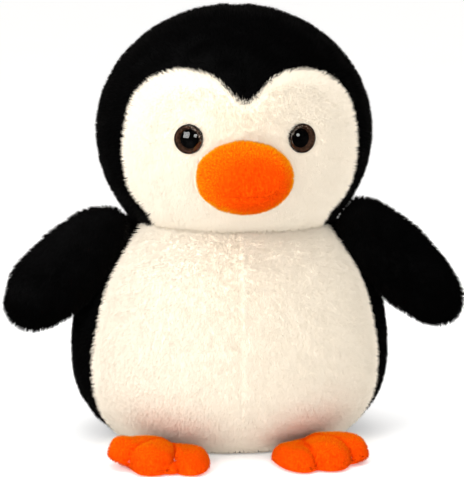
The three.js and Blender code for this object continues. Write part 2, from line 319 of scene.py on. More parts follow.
def ramp(tree: bpy.types.NodeTree, fac: bpy.types.NodeSocket, stops: list) -> bpy.types.NodeSocket:
    """A colour ramp driven by a number.

    Args:
        tree: The node tree that it goes into.
        fac: The number's socket.
        stops: Pairs of place and colour, in order.

    Returns:
        The ramp's colour socket.
    """
    made = node(tree, "ShaderNodeValToRGB")
    elements = made.color_ramp.elements
    while len(elements) < len(stops):
        elements.new(0.5)
    for element, (place, colour) in zip(elements, stops, strict=True):
        element.position = place
        element.color = (*colour, 1.0)
    tree.links.new(fac, made.inputs["Fac"])
    return made.outputs["Color"]


def noise(
    tree: bpy.types.NodeTree, scale: float, detail: float = 3.0, stretch: tuple = (1, 1, 1)
) -> bpy.types.NodeSocket:
    """Noise over the object's own coordinates, as a number, with the space stretched first."""
    coordinates = node(tree, "ShaderNodeTexCoord")
    mapping = node(tree, "ShaderNodeMapping")
    mapping.inputs["Scale"].default_value = stretch
    texture = node(tree, "ShaderNodeTexNoise")
    texture.inputs["Scale"].default_value = scale
    texture.inputs["Detail"].default_value = detail
    tree.links.new(coordinates.outputs["Object"], mapping.inputs["Vector"])
    tree.links.new(mapping.outputs["Vector"], texture.inputs["Vector"])
    return texture.outputs["Fac"]


def bump(
    tree: bpy.types.NodeTree, shader: bpy.types.Node, height: bpy.types.NodeSocket, depth: float
) -> None:
    """Raises a shader's surface by a height field, depth in metres."""
    made = node(tree, "ShaderNodeBump")
    made.inputs["Strength"].default_value = 1.0
    made.inputs["Distance"].default_value = depth
    tree.links.new(height, made.inputs["Height"])
    tree.links.new(made.outputs["Normal"], shader.inputs["Normal"])


@dataclass(frozen=True)
class Plush:
    """A pile fabric: the colours of its strands from root to tip, darker at the root partly as painted
    shade, and how it takes light.
    """

    name: str
    slot: str
    root: tuple
    middle: tuple
    tip: tuple
    roughness: float
    specular: float
    sheen: float
    sheen_tint: tuple
    patch_shade: float

    def _shine(self, shader: bpy.types.Node) -> None:
        """Sets the sockets that are the same all over the cloth."""
        shader.inputs["Specular IOR Level"].default_value = self.specular
        shader.inputs["Sheen Weight"].default_value = self.sheen
        shader.inputs["Sheen Roughness"].default_value = 0.45
        shader.inputs["Sheen Tint"].default_value = (*self.sheen_tint, 1.0)

    def pile(self) -> bpy.types.Material:
        """The strands: colour by the tone along each strand, shaded in soft broad patches."""
        material, tree, shader = new_material(f"{self.name}_pile")
        tone = node(tree, "ShaderNodeAttribute", attribute_name="tone")
        colour = ramp(tree, tone.outputs["Fac"], [(0.0, self.root), (0.45, self.middle), (1.0, self.tip)])
        patches = ramp(
            tree, noise(tree, 55.0, 2.0), [(0.35, (self.patch_shade,) * 3), (0.65, (1.0, 1.0, 1.0))]
        )
        mix = node(tree, "ShaderNodeMix", data_type="RGBA", blend_type="MULTIPLY")
        mix.inputs["Factor"].default_value = 1.0
        tree.links.new(colour, mix.inputs["A"])
        tree.links.new(patches, mix.inputs["B"])
        tree.links.new(mix.outputs["Result"], shader.inputs["Base Color"])
        shader.inputs["Roughness"].default_value = self.roughness
        self._shine(shader)
        return material

    def ground(self) -> bpy.types.Material:
        """The knitted ground under the strands: fine fibres with tufts, in the root colour, darker where
        its bump is low as painted shade.
        """
        material, tree, shader = new_material(f"{self.name}_ground")
        fibres = noise(tree, 900.0, 4.0, (1.0, 1.0, 0.35))
        colour = ramp(tree, fibres, [(0.3, self.root), (0.7, self.middle)])
        tree.links.new(colour, shader.inputs["Base Color"])
        rough = node(tree, "ShaderNodeMapRange")
        rough.inputs["To Min"].default_value = self.roughness
        rough.inputs["To Max"].default_value = 1.0
        tree.links.new(fibres, rough.inputs["Value"])
        tree.links.new(rough.outputs["Result"], shader.inputs["Roughness"])
        bump(tree, shader, fibres, 0.6 * MM)
        self._shine(shader)
        return material


# The root colours are darker than the tips, partly as painted shade deep in the pile.
BLACK = Plush(
    name="black_plush", slot="black_plush",
    root=(0.0004, 0.0004, 0.0004), middle=(0.0007, 0.0006, 0.0007), tip=(0.0016, 0.0013, 0.0014),
    roughness=0.55, specular=0.07, sheen=0.008, sheen_tint=(1.0, 0.93, 0.88),
    patch_shade=0.7,
)
WHITE = Plush(
    name="white_plush", slot="white_plush", root=(0.95, 0.855, 0.71), middle=(0.955, 0.86, 0.715),
    tip=(0.96, 0.865, 0.72), roughness=1.0, specular=0.04, sheen=0.0, sheen_tint=(1.0, 0.97, 0.93),
    patch_shade=0.99,
)
# The orange's yellow tip colour is partly a painted sheen, which the beak's rim takes most.
ORANGE = Plush(
    name="orange_plush", slot="orange_plush", root=(0.76, 0.045, 0.0005), middle=(0.87, 0.095, 0.001),
    tip=(1.0, 0.5, 0.003), roughness=0.9, specular=0.02, sheen=0.08, sheen_tint=(1.0, 0.5, 0.03),
    patch_shade=0.95,
)


def filling_material() -> bpy.types.Material:
    """Loose polyester fibre: off-white wisps with soft hollows between them, darker grey in the hollows as
    painted shade.
    """
    material, tree, shader = new_material("fibre_filling")
    wisps = noise(tree, 220.0, 6.0, (1.0, 0.4, 1.0))
    # Painted shade: the colour darkens where the wisps' bump is low.
    colour = ramp(tree, wisps, [(0.3, (0.62, 0.6, 0.56)), (0.7, (0.9, 0.89, 0.86))])
    tree.links.new(colour, shader.inputs["Base Color"])
    shader.inputs["Roughness"].default_value = 1.0
    shader.inputs["Sheen Weight"].default_value = 0.3
    bump(tree, shader, wisps, 1.5 * MM)
    return material


def pellet_cloth_material() -> bpy.types.Material:
    """Plain woven cotton, pushed out in small rounds by the pellets behind it, darker between the rounds as
    painted shade.
    """
    material, tree, shader = new_material("pellet_cloth")
    coordinates = node(tree, "ShaderNodeTexCoord")
    cells = node(tree, "ShaderNodeTexVoronoi")
    cells.inputs["Scale"].default_value = 300.0
    tree.links.new(coordinates.outputs["Object"], cells.inputs["Vector"])
    # Painted shade: darker towards the edges of each round, where the bump is low.
    tree.links.new(
        ramp(tree, cells.outputs["Distance"], [(0.1, (0.66, 0.63, 0.55)), (0.7, (0.5, 0.47, 0.4))]),
        shader.inputs["Base Color"],
    )
    shader.inputs["Roughness"].default_value = 0.85
    bump(tree, shader, cells.outputs["Distance"], -1.0 * MM)
    return material


def plastic_material(
    name: str, dark: tuple, light: tuple, roughness: float, specular: float = 0.5
) -> bpy.types.Material:
    """Moulded plastic with faint cloudy variation in colour and polish.

    Args:
        name: The material's name.
        dark: Colour in the darker clouds.
        light: Colour in the lighter clouds.
        roughness: Middle roughness.
        specular: Strength of its reflection, 0.5 for bare plastic.

    Returns:
        The material.
    """
    material, tree, shader = new_material(name)
    shader.inputs["Specular IOR Level"].default_value = specular
    cloud = noise(tree, 400.0, 3.0)
    tree.links.new(ramp(tree, cloud, [(0.35, dark), (0.65, light)]), shader.inputs["Base Color"])
    rough = node(tree, "ShaderNodeMapRange")
    rough.inputs["To Min"].default_value = roughness * 0.8
    rough.inputs["To Max"].default_value = roughness * 1.2
    tree.links.new(cloud, rough.inputs["Value"])
    tree.links.new(rough.outputs["Result"], shader.inputs["Roughness"])
    return material


def lens_material() -> bpy.types.Material:
    """Clear polished plastic: see-through, with a reflection that grows at grazing angles."""
    material = bpy.data.materials.new("eye_clear")
    material.use_nodes = True
    tree = material.node_tree
    tree.nodes.clear()
    clear = node(tree, "ShaderNodeBsdfTransparent")
    gloss = node(tree, "ShaderNodeBsdfGlossy")
    gloss.inputs["Roughness"].default_value = 0.03
    facing = node(tree, "ShaderNodeFresnel")
    facing.inputs["IOR"].default_value = 1.6
    inside = node(tree, "ShaderNodeNewGeometry")
    capped = node(tree, "ShaderNodeMath", operation="MINIMUM")
    capped.inputs[1].default_value = 0.11
    outer_only = node(tree, "ShaderNodeMath", operation="MULTIPLY")
    outside = node(tree, "ShaderNodeMath", operation="SUBTRACT")
    outside.inputs[0].default_value = 1.0
    mix = node(tree, "ShaderNodeMixShader")
    output = node(tree, "ShaderNodeOutputMaterial")
    tree.links.new(inside.outputs["Backfacing"], outside.inputs[1])
    tree.links.new(facing.outputs["Fac"], capped.inputs[0])
    tree.links.new(capped.outputs["Value"], outer_only.inputs[0])
    tree.links.new(outside.outputs["Value"], outer_only.inputs[1])
    tree.links.new(outer_only.outputs["Value"], mix.inputs["Fac"])
    tree.links.new(clear.outputs["BSDF"], mix.inputs[1])
    tree.links.new(gloss.outputs["BSDF"], mix.inputs[2])
    tree.links.new(mix.outputs["Shader"], output.inputs["Surface"])
    return material


def dress(
    obj: bpy.types.Object, material: bpy.types.Material, body: str, slot: str, *nodes: str
) -> bpy.types.Object:
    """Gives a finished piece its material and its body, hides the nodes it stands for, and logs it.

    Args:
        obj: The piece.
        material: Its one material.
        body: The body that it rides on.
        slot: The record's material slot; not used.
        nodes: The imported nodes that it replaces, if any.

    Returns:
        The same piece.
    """
    obj.data.materials.clear()
    obj.data.materials.append(material)
    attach(obj, body)
    if nodes:
        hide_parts(*nodes)
    log.info("%s: %d faces on %s", obj.name, len(obj.data.polygons), body)
    return obj


# Pile


@dataclass(frozen=True)
class Coat:
    """How the strands of one coat grow: their size, crowding, lean, clumping and soft shading."""

    length: float = 3.4 * MM
    width: float = 0.46 * MM
    per_mm2: float = 2.4
    lean: float = 1.0
    scatter: float = 0.28
    clump_pitch: float = 2.6 * MM
    clump_pull: float = 0.35
    softness: float = 0.5


WHITE_COAT = Coat(
    length=3.4 * MM, width=0.56 * MM, per_mm2=3.35, lean=1.5, scatter=0.14,
    clump_pitch=4 * MM, clump_pull=0.04,
    softness=0.85,
)


def scatter_on(sheet: Sheet, per_mm2: float, rng: np.random.Generator) -> tuple[Array, Array, Array]:
    """Random places spread evenly over a patch, by area.

    Args:
        sheet: The patch.
        per_mm2: How many places each square millimetre gets.
        rng: The random numbers to draw from.

    Returns:
        The places, the normals there, and each place's row and column on the grid, from 0 to 1.
    """
    points, normals = sheet.unrolled()
    rows, columns = points.shape[:2]
    first = np.cross(points[1:, :-1] - points[:-1, :-1], points[:-1, 1:] - points[:-1, :-1])
    second = np.cross(points[1:, 1:] - points[1:, :-1], points[1:, 1:] - points[:-1, 1:])
    area = (np.linalg.norm(first, axis=-1) + np.linalg.norm(second, axis=-1)).ravel() / 2
    count = int(area.sum() * 1e6 * per_mm2)
    i, j = np.divmod(rng.choice(area.size, count, p=area / area.sum()), columns - 1)
    s, t = rng.random((2, count, 1))

    def inside(values: Array) -> Array:
        """The values inside each cell, weighted from its four corners."""
        low = values[i, j] * (1 - t) + values[i, j + 1] * t
        high = values[i + 1, j] * (1 - t) + values[i + 1, j + 1] * t
        return low * (1 - s) + high * s

    place = np.stack([(i + s[:, 0]) / (rows - 1), (j + t[:, 0]) / (columns - 1)], axis=-1)
    return inside(points), unit(inside(normals)), place


def grow_pile(
    name: str, roots: Array, normals: Array, nap: Array, lift: Array, coat: Coat, rng: np.random.Generator
) -> bpy.types.Object:
    """A coat of pile: one slim closed spike for each strand.

    A strand leans from the surface's normal towards the nap, is scattered a little, and its tip is
    drawn towards the mean tip of its clump, the strands rooted in the same small cube of space. A
    strand that leans by more than its own height is longer too. Its tone runs from 0 at the root,
    whose darker colour is partly painted shade, to 0.75 at the tip, shifted by the place's painted
    light and shade with its plain colour shift, and by a random part of its own. No strand goes
    through the floor. Its shading normals are drawn towards the surface's by the coat's softness.

    Args:
        name: The new object's name.
        roots: Where the strands grow, one row each.
        normals: The surface's outward normals there.
        nap: The way that the strands lean there, with its size as how much they lean.
        lift: How much lighter in tone the strands are there: painted light and shade, with a plain colour
            shift.
        coat: The strands' sizes.
        rng: The random numbers to draw from.

    Returns:
        The new object, with a tone attribute on its points.
    """
    count = len(roots)
    flat = nap - normals * (nap * normals).sum(axis=-1, keepdims=True)
    lean = flat * coat.lean + rng.normal(scale=coat.scatter, size=(count, 3))
    axis = unit(normals + lean)
    longer = 1 + 0.4 * np.clip(np.linalg.norm(nap, axis=-1, keepdims=True) - 1, 0, 0.5)
    reach = coat.length * longer * rng.uniform(0.65, 1.12, (count, 1))
    tips = roots + axis * reach
    shaken = roots + rng.normal(scale=coat.clump_pitch * 0.15, size=roots.shape)
    cell = np.floor(shaken / coat.clump_pitch).astype(np.int64)
    key = (cell * np.array([73856093, 19349663, 83492791])).sum(axis=1)
    _, clump = np.unique(key, return_inverse=True)
    crowd = np.bincount(clump).astype(float)
    centre = np.stack([np.bincount(clump, tips[:, k]) / crowd for k in range(3)], axis=-1)[clump]
    tips += (centre - tips) * coat.clump_pull * rng.uniform(0.4, 1.3, (count, 1))
    tips[:, 2] = np.maximum(tips[:, 2], 0.1 * MM)
    axis = unit(tips - roots)
    across = unit(np.cross(axis, unit(rng.normal(size=(count, 3)))))
    other = np.cross(axis, across)
    half = coat.width / 2 * rng.uniform(0.7, 1.2, (count, 1))
    base = roots - normals * 0.4 * MM
    thirds = 2 * np.pi / 3 * np.arange(3)
    corners = [base + half * (np.cos(a) * across + np.sin(a) * other) for a in thirds]
    points = np.stack([*corners, tips], axis=1).reshape(-1, 3)
    points[:, 2] = np.maximum(points[:, 2], 0.1 * MM)
    spike = np.array([[0, 1, 3], [1, 2, 3], [2, 0, 3], [0, 2, 1]])
    faces = (np.arange(count)[:, None, None] * 4 + spike).reshape(-1, 3)
    obj = mesh_object(name, points, faces)
    own = rng.uniform(-0.12, 0.12, count)
    # Tone darker at the root partly as painted shade, moved by the place's painted light and shade.
    low, high = own + lift * 0.5, 0.75 + own + lift
    tone = np.stack([low, low, low, high], axis=1).clip(0, 1)
    shades = obj.data.attributes.new("tone", "FLOAT", "POINT")
    shades.data.foreach_set("value", tone.astype(np.float32).ravel())
    round_ = np.stack([unit(c - base) for c in corners] + [axis], axis=1)
    soft = unit(normals[:, None] * coat.softness + round_ * (1 - coat.softness)).reshape(-1, 3)
    obj.data.normals_split_custom_set_from_vertices(soft)
    return obj


MAX_STRANDS = 48000
Nap = Callable[[Array, Array, Array], Array]
Bare = Callable[[Array], Array]


def coat_patch(
    name: str,
    sheet: Sheet,
    nap: Nap,
    coat: Coat,
    finish: Plush,
    body: str,
    seed: int,
    bare: Bare | None = None,
    lift: Bare | None = None,
) -> list[bpy.types.Object]:
    """Covers a patch with pile, in as many pieces as keep each one small enough.

    Args:
        name: Name of the coat, which the pieces number.
        sheet: The patch that it grows on.
        nap: Gives the lean for places, normals and grid places.
        coat: The strands' sizes.
        finish: The cloth.
        body: The body that it rides on.
        seed: Number that picks the strands.
        bare: Tells which places stay without strands, if any.
        lift: Gives how much lighter the strands are at each place, as painted light and shade with a plain
            colour shift, if they vary.

    Returns:
        The pieces of pile.
    """
    rng = np.random.default_rng(SEED + seed)
    roots, normals, place = scatter_on(sheet, coat.per_mm2, rng)
    if bare is not None:
        grown = ~bare(roots)
        roots, normals, place = roots[grown], normals[grown], place[grown]
    count = len(roots)
    lean = nap(roots, normals, place)
    # Painted light and shade on the strands, with a plain colour shift, where the patch has any.
    light = lift(roots) if lift is not None else np.zeros(len(roots))
    order = np.argsort(roots[:, 2], kind="stable")
    parts = max(1, -(-count // MAX_STRANDS))
    material = finish.pile()
    made = []
    for k, chosen in enumerate(np.array_split(order, parts)):
        label = f"{name}_pile" if parts == 1 else f"{name}_pile_{k + 1}"
        piece = grow_pile(label, roots[chosen], normals[chosen], lean[chosen], light[chosen], coat, rng)
        made.append(dress(piece, material, body, finish.slot))
    return made


# The head


def joint(name: str) -> dict:
    """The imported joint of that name."""
    return next(j for j in frame["joints"] if j["name"] == name)


def union_box(*nodes: str) -> tuple[Array, Array]:
    """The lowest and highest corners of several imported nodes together."""
    boxes = [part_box(n) for n in nodes]
    return np.min([b[0] for b in boxes], axis=0), np.max([b[1] for b in boxes], axis=0)


# Height of the middle of the face, in metres: its outline and its nap run out from here.
FACE_MIDDLE = 0.158


@dataclass
class Head:
    """The head: a stretched ball in three plush panels, with its filling.

    A point of the ball is a unit direction times the half sizes, with one height for the crown and
    another for the jaw.
    """

    pile_depth: float = 1.5 * MM
    white_depth: float = 1.6 * MM
    cloth: float = 1.2 * MM
    seam_depth: float = 1.3 * MM
    seam_width: float = 3.0 * MM
    peak: float = 0.1887
    outline: Array = field(default_factory=lambda: MM * np.array([
        [5.6, 192], [12, 199], [20, 203.6], [31, 205.6], [42, 203.4], [50.6, 198.6], [57.5, 190],
        [61.2, 178], [62.8, 160], [60.2, 144], [55.6, 135], [49, 127.5], [41, 113.5], [22, 107],
    ]))
    chin: float = 0.1045

    def __post_init__(self) -> None:
        """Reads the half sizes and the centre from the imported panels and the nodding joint."""
        low, high = union_box("left_hood_panel", "right_hood_panel", "face_panel")
        self.half = np.array([(high[0] - low[0]) / 2, (high[1] - low[1]) / 2])
        pivot = joint("head_nod")["pos_m"]
        self.centre = np.array([(high[0] + low[0]) / 2, (high[1] + low[1]) / 2, pivot[2]])
        self.crown = high[2] - pivot[2]
        self.jaw = pivot[2] - low[2]

    def place(self, directions: Array, depth: float | Array = 0.0) -> Array:
        """Surface points in unit directions, sunk by a depth."""
        tall = np.where(directions[..., 2] > 0, self.crown, self.jaw)
        half = np.stack([np.full_like(tall, self.half[0]), np.full_like(tall, self.half[1]), tall], axis=-1)
        return self.centre + directions * (half - np.asarray(depth)[..., None])

    def normal(self, directions: Array) -> Array:
        """Outward unit normals in unit directions."""
        tall = np.where(directions[..., 2] > 0, self.crown, self.jaw)
        half = np.stack([np.full_like(tall, self.half[0]), np.full_like(tall, self.half[1]), tall], axis=-1)
        return unit(directions / half)

    def front(self, x: Array, z: Array) -> Array:
        """Unit directions of the front surface points that lie x off the middle, at height z."""
        u = x / self.half[0]
        w = (z - self.centre[2]) / np.where(z > self.centre[2], self.crown, self.jaw)
        v = -np.sqrt(np.clip(1 - u * u - w * w, 0, 1))
        return unit(np.stack([u, v, w], axis=-1))

    def border(self, count: int) -> Array:
        """Half of the face's border as front points, from the peak down to the chin."""
        half = np.vstack([[0.0, self.peak], self.outline, [0.0, self.chin]])
        mirrored = np.vstack([half[1] * [-1, 1], half, half[-2] * [-1, 1]])
        curve = spline(mirrored, 12)[12:-12]
        return resample(curve, count)

    def sink(self, distance: Array) -> Array:
        """How far the white cloth lies below the pile's tips, at a distance from its seam."""
        return self.white_depth + self.seam_depth * np.exp(-((distance / self.seam_width) ** 2))

    def face_sheet(self) -> Sheet:
        """The face panel: rays from the middle of the face to its border, so many to each side."""
        half = self.border(110)
        ring = np.vstack([half, half[-2:0:-1] * [-1, 1]])
        middle = np.array([0.0, FACE_MIDDLE])
        t = np.linspace(0, 1, 46)[:, None, None]
        flat = middle + (ring[None] - middle) * t
        directions = self.front(flat[..., 0], flat[..., 1])
        surface = self.place(directions)
        distance = np.linalg.norm(surface - surface[-1:], axis=-1)
        return Sheet(self.place(directions, self.sink(distance)), self.normal(directions), wrap=True)

    def hood_sheet(self, side: Side) -> Sheet:
        """One hood panel: arcs from the face's border round to the back of the head."""
        half = self.border(110) * [side.value, 1]
        start = self.front(half[:, 0], half[:, 1])[None]
        pole = np.array([0.0, 1.0, 0.0])
        angle = np.arccos(np.clip(start @ pole, -1, 1))[..., None]
        t = np.linspace(0, 0.985, 72)[:, None, None]
        directions = unit((np.sin((1 - t) * angle) * start + np.sin(t * angle) * pole) / np.sin(angle))
        surface = self.place(directions)
        to_face = np.linalg.norm(surface - surface[:1], axis=-1)
        to_middle = np.abs(surface[..., 0] - self.centre[0])
        sunk = self.pile_depth + self.seam_depth * np.maximum(
            np.exp(-((to_face / self.seam_width) ** 2)), 0.6 * np.exp(-((to_middle / self.seam_width) ** 2))
        )
        return Sheet(self.place(directions, sunk), self.normal(directions))

    def face_nap(self, roots: Array, normals: Array, place: Array) -> Array:
        """Face strands lean down near the middle and out across the border at the edge."""
        outward = unit((roots - np.array([self.centre[0], 0.0, FACE_MIDDLE])) * [1, 0, 1])
        edge = smoothstep(0.8, 1.0, place[:, :1])
        down = np.array([0.0, 0.0, -1.0])
        soft = 0.6 + 0.1 * lumps(roots, 9 * MM, 3)[:, None]
        return soft * (down * 0.7 + outward * 0.4) * (1 - edge) + edge * (outward * 1.25 + down * 0.1)

    def hood_nap(self, roots: Array, normals: Array, place: Array) -> Array:
        """Hood strands lean back from the face and down over the back, in soft waves."""
        back = np.array([0.0, 1.0, -0.55])
        sway = np.stack([lumps(roots, 14 * MM, 5 + k) for k in range(3)], axis=-1)
        return back * 0.9 + 0.45 * sway

    def build(self) -> None:
        """Makes the panels, their pile, the beak, the eyes and the filling."""
        beak, eyes = Beak(), [Eye(side, self) for side in Side]
        face = self.face_sheet()
        dent = sum(eye.dent(face.points) for eye in eyes)
        face = Sheet(face.points - face.normals * dent[..., None], face.normals, wrap=True)
        panel = face.shell("face_panel_cloth", self.cloth)
        dress(panel, WHITE.ground(), "head", WHITE.slot, "face_panel")

        def bare(roots: Array) -> Array:
            """True for places behind the beak or under an eye."""
            return beak.covers(roots) | eyes[0].near(roots, 7.4 * MM) | eyes[1].near(roots, 7.4 * MM)

        coat_patch("face", face, self.face_nap, WHITE_COAT, WHITE, "head", 1, bare)
        for side in Side:
            hood = self.hood_sheet(side)
            panel = hood.shell(f"{side.word}_hood_cloth", self.cloth)
            dress(panel, BLACK.ground(), "head", BLACK.slot, f"{side.word}_hood_panel")
            coat_patch(f"{side.word}_hood", hood, self.hood_nap, Coat(), BLACK, "head", 2 + side.value)
        for part in (beak, *eyes):
            part.build()
        self.filling()

    def filling(self) -> None:
        """The fibre inside the head: a lumpy ball a little smaller than the cloth."""
        around = np.linspace(0, 2 * np.pi, 72, endpoint=False)
        upward = np.linspace(-np.pi / 2, np.pi / 2, 40)
        turn, rise = np.meshgrid(around, upward)
        directions = np.stack(
            [np.cos(rise) * np.cos(turn), np.cos(rise) * np.sin(turn), np.sin(rise)], axis=-1
        )
        depth = 8 * MM + 1.5 * MM * lumps(self.place(directions), 18 * MM, 21)
        ball = closed_surface("head_filling", self.place(directions, depth))
        dress(ball, filling_material(), "head", "filling", "head_fill")


# The beak and the eyes


# Degrees that the beak's upper and lower panels wrap back from the seam.
UPPER_WRAP = 118.0
LOWER_WRAP = -112.0


@dataclass
class Beak:
    """The beak: a stretched ball let into the face, in an upper and a lower panel.

    A point of it is given by a turn about X, from the front upwards, and a swing towards +X.
    """

    centre: tuple = (0.4 * MM, -76 * MM, 150.7 * MM)
    half: tuple = (25.5 * MM, 22.3 * MM, 18.9 * MM)
    seam_drop: float = 10 * MM
    seam_slope: float = np.tan(np.radians(18.0))
    pile_depth: float = 0.9 * MM
    cloth: float = 1.0 * MM

    def place(self, turn: Array, swing: Array, depth: float | Array = 0.0) -> Array:
        """Surface points at a turn and a swing, sunk by a depth."""
        x, y, z = (h - depth for h in self.half)
        return np.stack([
            self.centre[0] + x * np.sin(swing) + 0 * turn,
            self.centre[1] - y * np.cos(swing) * np.cos(turn),
            self.centre[2] + z * np.cos(swing) * np.sin(turn),
        ], axis=-1)

    def seam(self, swing: Array) -> Array:
        """The turn at which the sloping seam plane cuts the ball, at each swing."""
        _, y, z = self.half
        height = np.hypot(z, self.seam_slope * y)
        tilt = np.arctan2(self.seam_slope * y, z)
        level = (self.seam_slope * y - self.seam_drop) / (height * np.maximum(np.cos(swing), 0.3))
        return np.arcsin(np.clip(level, -1, 1)) - tilt

    def sheet(self, upper: bool) -> Sheet:
        """One panel, from the seam round to where it goes into the face."""
        swing = np.linspace(-np.pi / 2, np.pi / 2, 76)[None]
        start = self.seam(swing)
        end = np.radians(UPPER_WRAP if upper else LOWER_WRAP)
        t = np.linspace(0, 1, 46)[:, None]
        turn = start + t * (end - start)
        surface = self.place(turn, swing)
        to_seam = np.linalg.norm(surface - surface[:1], axis=-1)
        middle = np.exp(-(((surface[..., 0] - self.centre[0]) / (16 * MM)) ** 2))
        depth = self.pile_depth + 0.9 * MM * middle * np.exp(-((to_seam / (1.6 * MM)) ** 2))
        depth = depth + 0.25 * MM * lumps(surface, 11 * MM, 41)
        normal = unit((surface - self.centre) / np.array(self.half) ** 2)
        return Sheet(self.place(turn, swing, depth), normal)

    def nap(self, roots: Array, normals: Array, place: Array) -> Array:
        """Short pile stands nearly straight, brushed a little forwards and down."""
        return np.array([0.0, -0.2, -0.35]) + 0 * roots

    def lift(self, roots: Array) -> Array:
        """Painted light on the pile: redder low in the middle and yellower towards the rim and the top, a
        painted sheen at the rim and a painted highlight at the top.
        """
        x = (roots[:, 0] - self.centre[0] - 3 * MM) / self.half[0]
        z = (roots[:, 2] - self.centre[2] + 3.5 * MM) / self.half[2]
        return 0.9 * smoothstep(0.25, 1.05, np.hypot(x, z)) - 0.48

    def covers(self, points: Array) -> Array:
        """True for places of the face that lie behind the beak."""
        x = (points[:, 0] - self.centre[0]) / self.half[0]
        z = (points[:, 2] - self.centre[2]) / self.half[2]
        return (points[:, 1] < 0) & (x**2 + z**2 < 0.97)

    def build(self) -> None:
        """Makes the two panels, their pile and the filling."""
        for word, upper in (("upper", True), ("lower", False)):
            sheet = self.sheet(upper)
            panel = sheet.shell(f"beak_{word}_cloth", self.cloth)
            dress(panel, ORANGE.ground(), "head", ORANGE.slot, f"beak_{word}_panel")
            coat_patch(
                f"beak_{word}", sheet, self.nap, SHORT_COAT, ORANGE, "head", 30 + upper, lift=self.lift
            )
        swing = np.linspace(-np.pi / 2, np.pi / 2, 30)[None]
        turn = np.linspace(0, 2 * np.pi, 40, endpoint=False)[:, None]
        depth = 3.2 * MM + 0.5 * MM * lumps(self.place(turn, swing), 9 * MM, 43)
        grid = self.place(turn, swing, depth).swapaxes(0, 1)
        grid[..., 1] = np.minimum(grid[..., 1], -70 * MM)
        pad = closed_surface("beak_filling", grid)
        dress(pad, filling_material(), "head", "filling", "beak_fill")


SHORT_COAT = Coat(
    length=1.5 * MM, width=0.31 * MM, per_mm2=4.5, lean=0.6, scatter=0.35,
    clump_pitch=1.6 * MM, clump_pull=0.2,
)


@dataclass
class Eye:
    """A moulded eye: a black dish on a post, a brown ring on the dish's slope, and a clear dome.

    The dome is a cap of a ball whose radius follows from its width and its height.
    """

    side: Side
    head: Head
    across: float = 29.7 * MM
    height: float = 170 * MM
    radius: float = 7.6 * MM
    pupil: float = 4.9 * MM
    floor: float = -2.2 * MM
    rim: float = 0.5 * MM
    dome: float = 3.4 * MM

    def __post_init__(self) -> None:
        """Finds the eye's place on the head and its three axes."""
        direction = self.head.front(np.array(self.side.value * self.across), np.array(self.height))
        self.axis = self.head.normal(direction)
        self.centre = self.head.place(direction) - self.axis * 0.7 * MM
        self.right = unit(np.cross(np.array([0.0, 0.0, 1.0]), self.axis))
        self.up = np.cross(self.axis, self.right)

    def turned(self, profile: list, columns: int = 96) -> Array:
        """A profile of radius and height on the eye's axis, turned full circle."""
        grid = revolve(np.array(profile, dtype=float), columns)
        return self.centre + grid @ np.stack([self.right, self.up, self.axis])

    def near(self, points: Array, radius: float) -> Array:
        """True for places within a radius of the eye."""
        return np.linalg.norm(points - self.centre, axis=-1) < radius

    def dent(self, points: Array) -> Array:
        """How far the eye sinks the face at each place: most under it, fading 4 mm beyond its rim."""
        away = np.linalg.norm(points - self.centre, axis=-1)
        pulled = 1.1 * MM * np.exp(-((np.maximum(away - self.radius * 0.9, 0) / (4 * MM)) ** 2))
        return pulled + 1.8 * MM * (1 - smoothstep(self.radius - 0.9 * MM, self.radius, away))

    def build(self) -> None:
        """Makes the dish with its post, the ring and the dome, and finishes the washer."""
        word = self.side.word
        t = np.linspace(0, np.pi / 2, 8)
        edge = 0.35 * MM
        lip = self.radius - edge + edge * np.cos(t), self.rim - edge + edge * np.sin(t)
        dish = [
            (0, -14 * MM), (2.2 * MM, -14 * MM), (2.5 * MM, -13.5 * MM), (2.5 * MM, -3.2 * MM),
            (self.radius - edge, -3.2 * MM), (self.radius, -3.0 * MM), *zip(*lip, strict=True),
            (self.radius - 0.55 * MM, self.rim), (self.pupil, self.floor), (0, self.floor),
        ]
        core = closed_surface(f"{word}_eye_dish", self.turned(dish))
        black = plastic_material("eye_black", (0.0006, 0.0005, 0.0005), (0.0012, 0.001, 0.001), 0.4, 0.02)
        dress(core, black, "head", "eye_black", f"{word}_eye_core")
        wall = 0.15 * MM
        inner, outer = (self.pupil + 0.05 * MM, self.floor), (self.radius - 0.55 * MM, self.rim)
        ring = self.turned([
            (inner[0], inner[1] - wall), (outer[0], outer[1] - wall), (outer[0], outer[1] + 0.03 * MM),
            (inner[0], inner[1] + wall * 0.6),
        ])
        ring = np.concatenate([ring, ring[:1]])
        iris = closed_surface(f"{word}_eye_ring", ring)
        dress(iris, iris_material(), "head", "eye_brown", f"{word}_eye_iris")
        low, wide = self.rim + 0.08 * MM, self.radius * 0.99
        ball = (wide**2 + (self.dome - low) ** 2) / (2 * (self.dome - low))
        bend = np.linspace(np.arcsin(wide / ball), 0, 24)
        cap = [(0, low), *zip(ball * np.sin(bend), self.dome - ball * (1 - np.cos(bend)), strict=True)]
        lens = closed_surface(f"{word}_eye_dome", self.turned(cap))
        dress(lens, lens_material(), "head", "eye_clear", f"{word}_eye_lens")
        washer = frame["nodes"][f"{word}_eye_washer"]
        washer.data.materials.clear()
        washer_plastic = plastic_material("washer_plastic", (0.7, 0.7, 0.68), (0.8, 0.8, 0.78), 0.4)
        washer.data.materials.append(washer_plastic)


def iris_material() -> bpy.types.Material:
    """Brown paint with fine uneven streaks and a soft polish."""
    material, tree, shader = new_material("eye_brown")
    streaks = noise(tree, 700.0, 4.0, (1.0, 0.4, 1.0))
    tree.links.new(
        ramp(tree, streaks, [(0.3, (0.012, 0.005, 0.002)), (0.7, (0.055, 0.024, 0.012))]),
        shader.inputs["Base Color"],
    )
    shader.inputs["Roughness"].default_value = 0.6
    shader.inputs["Specular IOR Level"].default_value = 0.1
    return material


# The torso


